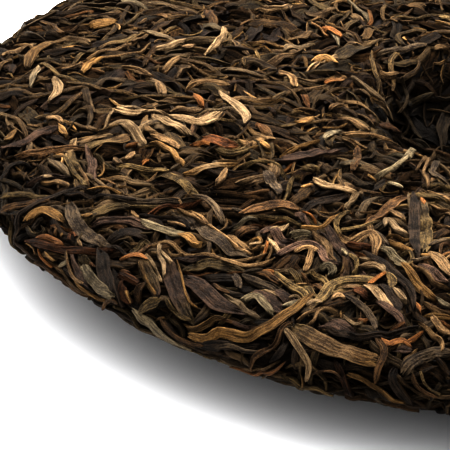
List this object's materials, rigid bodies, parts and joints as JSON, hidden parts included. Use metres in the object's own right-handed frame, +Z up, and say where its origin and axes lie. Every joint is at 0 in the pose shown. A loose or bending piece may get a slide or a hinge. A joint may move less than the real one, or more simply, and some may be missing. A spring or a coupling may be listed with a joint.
{
  "type": "pressed tea cake",
  "caption": "Round cake of pressed whole tea leaf, thin at its rounded edge, with a domed underside and a bowl-shaped dimple in the middle of its top.",
  "frame": {"origin": "middle of the flat spot that the cake rests on, at the height of the table", "axes": "+Z up through the dimple, +X to the right and -Y towards the viewer of the picture"},
  "size_m": [0.2002, 0.199, 0.0252],
  "materials": {
    "pressed_tea": "dry leaf, dull with a faint sheen"
  },
  "bodies": {
    "root": {"tea_cake": "pressed_tea"}
  },
  "joints": []
}
